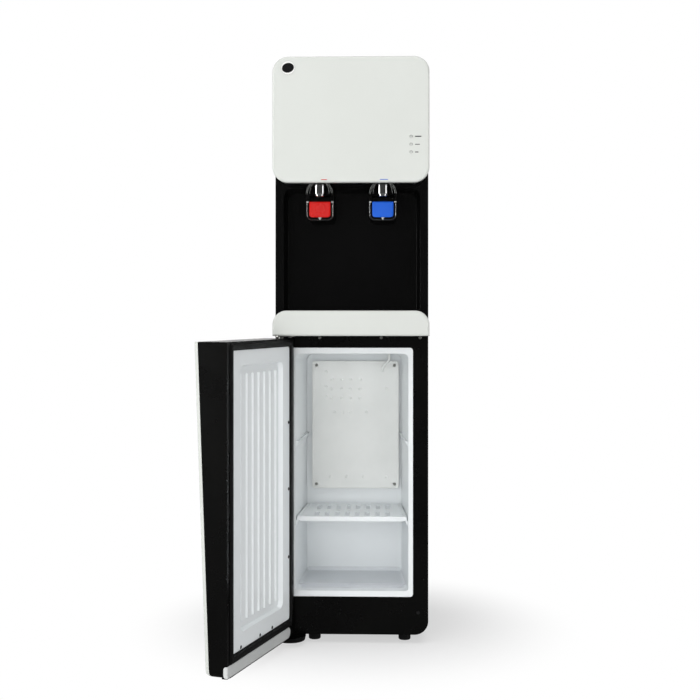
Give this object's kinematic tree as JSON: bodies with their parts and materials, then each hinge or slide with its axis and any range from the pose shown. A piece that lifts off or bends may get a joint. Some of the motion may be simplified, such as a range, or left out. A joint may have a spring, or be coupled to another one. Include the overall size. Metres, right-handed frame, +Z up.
{
  "type": "free-standing water dispenser with refrigerator cabinet",
  "caption": "Tall narrow water dispenser with hot and cold lever taps over a drip tray, a bottle well on top and a small refrigerator with a wedge-shaped door below.",
  "frame": {"origin": "on the floor under the middle of the cabinet's width and of the cabinet's depth, taken without the front panels and the door", "axes": "+X to the right as seen from the front, +Y to the back, +Z up; the front faces -Y and the door is stored 108 degrees open"},
  "size_m": [0.4133, 0.6291, 1.139],
  "materials": {
    "black_steel": "smooth black powder coat",
    "black_satin": "satin moulded black",
    "black_gloss": "high gloss black",
    "galvanised": "bare galvanised sheet",
    "zinc_steel": "zinc plated",
    "black_screw": "blackened steel",
    "white_liner": "satin vacuum-formed white",
    "white_panel": "gloss white",
    "insulation": "rigid foam",
    "painted_aluminium": "white lacquered",
    "clear_plastic": "clear",
    "black_enamel": "black enamel",
    "black_rubber": "matt",
    "badge_grey": "plain dark metal",
    "lens": "unlit lens",
    "chrome": "polished",
    "stainless": "drawn stainless",
    "silicone": "milky silicone",
    "copper": "drawn copper",
    "white_plastic": "moulded white",
    "pale_grey": "satin pale grey",
    "red_plastic": "gloss red",
    "blue_plastic": "gloss blue",
    "green_plastic": "gloss green"
  },
  "bodies": {
    "cabinet": {"side_panel_left": "black_steel", "side_panel_right": "black_steel", "rear_cover": "black_steel", "lower_hinge": "black_steel", "base_tub": "black_satin", "front_frame": "black_satin", "upper_housing": "black_satin", "top_cover": "black_satin", "hot_tap_body": "black_satin", "cold_tap_body": "black_satin", "drip_basin": "black_satin", "relay_cover": "black_satin", "switch_bodies": "black_satin", "bay_moulding": "black_gloss", "base_plate": "galvanised", "partition": "galvanised", "case_screws": "zinc_steel", "evaporator_screws": "zinc_steel", "upper_hinge": "zinc_steel", "fridge_liner": "white_liner", "bottle_collar": "white_liner", "front_panel": "white_panel", "chin_panel": "white_panel", "cabinet_foam": "insulation", "cold_tank_jacket": "insulation", "evaporator_plate": "painted_aluminium", "compressor": "black_enamel", "condenser": "black_enamel", "compressor_grommets": "black_rubber", "cord_gland": "black_rubber", "badge_disc": "badge_grey", "indicator_lenses": "lens", "hot_nozzle": "chrome", "cold_nozzle": "chrome", "cold_tank": "stainless", "hot_tank": "stainless", "water_tubes": "silicone", "refrigerant_pipes": "copper", "drain_spout": "white_plastic"},
    "door": {"door_shell": "black_satin", "door_front_panel": "white_panel", "door_liner": "white_liner", "door_gasket": "black_rubber", "door_lower_bar": "pale_grey", "door_foam": "insulation", "door_bushes": "white_plastic", "door_screws": "black_screw"},
    "hot_lever": {"hot_paddle": "black_satin", "hot_insert": "red_plastic"},
    "cold_lever": {"cold_paddle": "black_satin", "cold_insert": "blue_plastic"},
    "shelf_body": {"shelf": "white_liner"},
    "fridge_tray_body": {"fridge_tray": "clear_plastic"},
    "drip_tray_body": {"drip_tray": "black_satin"},
    "drip_grille_body": {"drip_grille": "black_satin"},
    "left_foot_body": {"left_foot": "black_rubber"},
    "right_foot_body": {"right_foot": "black_rubber"},
    "hot_switch_key": {"hot_switch": "red_plastic"},
    "cold_switch_key": {"cold_switch": "green_plastic"},
    "drain_cap_body": {"drain_cap": "white_plastic"}
  },
  "joints": [
    {"name": "door_hinge", "type": "hinge", "parent": "cabinet", "child": "door", "pos_m": [-0.137, -0.176, 0.3], "axis": [0, 0, -1], "range_deg": [-108, 12]},
    {"name": "hot_lever_pivot", "type": "hinge", "parent": "cabinet", "child": "hot_lever", "pos_m": [-0.061, -0.168, 0.871], "axis": [1, 0, 0], "range_deg": [0, 12], "stiffness_Nm_per_rad": 0.05, "springref_deg": -8.59},
    {"name": "cold_lever_pivot", "type": "hinge", "parent": "cabinet", "child": "cold_lever", "pos_m": [0.061, -0.168, 0.871], "axis": [1, 0, 0], "range_deg": [0, 12], "stiffness_Nm_per_rad": 0.05, "springref_deg": -8.59},
    {"name": "shelf_slide", "type": "slide", "parent": "cabinet", "child": "shelf_body", "axis": [0, -1, 0], "range_m": [0, 0.15]},
    {"name": "fridge_tray_slide", "type": "slide", "parent": "cabinet", "child": "fridge_tray_body", "axis": [0, -1, 0], "range_m": [0, 0.14]},
    {"name": "drip_tray_lift", "type": "slide", "parent": "cabinet", "child": "drip_tray_body", "axis": [0, 0, 1], "range_m": [0, 0.06]},
    {"name": "drip_grille_lift", "type": "slide", "parent": "drip_tray_body", "child": "drip_grille_body", "axis": [0, 0, 1], "range_m": [0, 0.05]},
    {"name": "left_foot_turn", "type": "hinge", "parent": "cabinet", "child": "left_foot_body", "pos_m": [-0.075, -0.112, 0.01], "axis": [0, 0, 1], "continuous": true},
    {"name": "right_foot_turn", "type": "hinge", "parent": "cabinet", "child": "right_foot_body", "pos_m": [0.104, -0.112, 0.01], "axis": [0, 0, 1], "continuous": true},
    {"name": "hot_switch_rock", "type": "hinge", "parent": "cabinet", "child": "hot_switch_key", "pos_m": [-0.062, 0.1472, 1.01], "axis": [1, 0, 0], "range_deg": [0, 16]},
    {"name": "cold_switch_rock", "type": "hinge", "parent": "cabinet", "child": "cold_switch_key", "pos_m": [-0.034, 0.1472, 1.01], "axis": [1, 0, 0], "range_deg": [0, 16]},
    {"name": "drain_cap_turn", "type": "hinge", "parent": "cabinet", "child": "drain_cap_body", "pos_m": [-0.06, 0.165, 0.65], "axis": [0, 1, 0], "continuous": true}
  ]
}
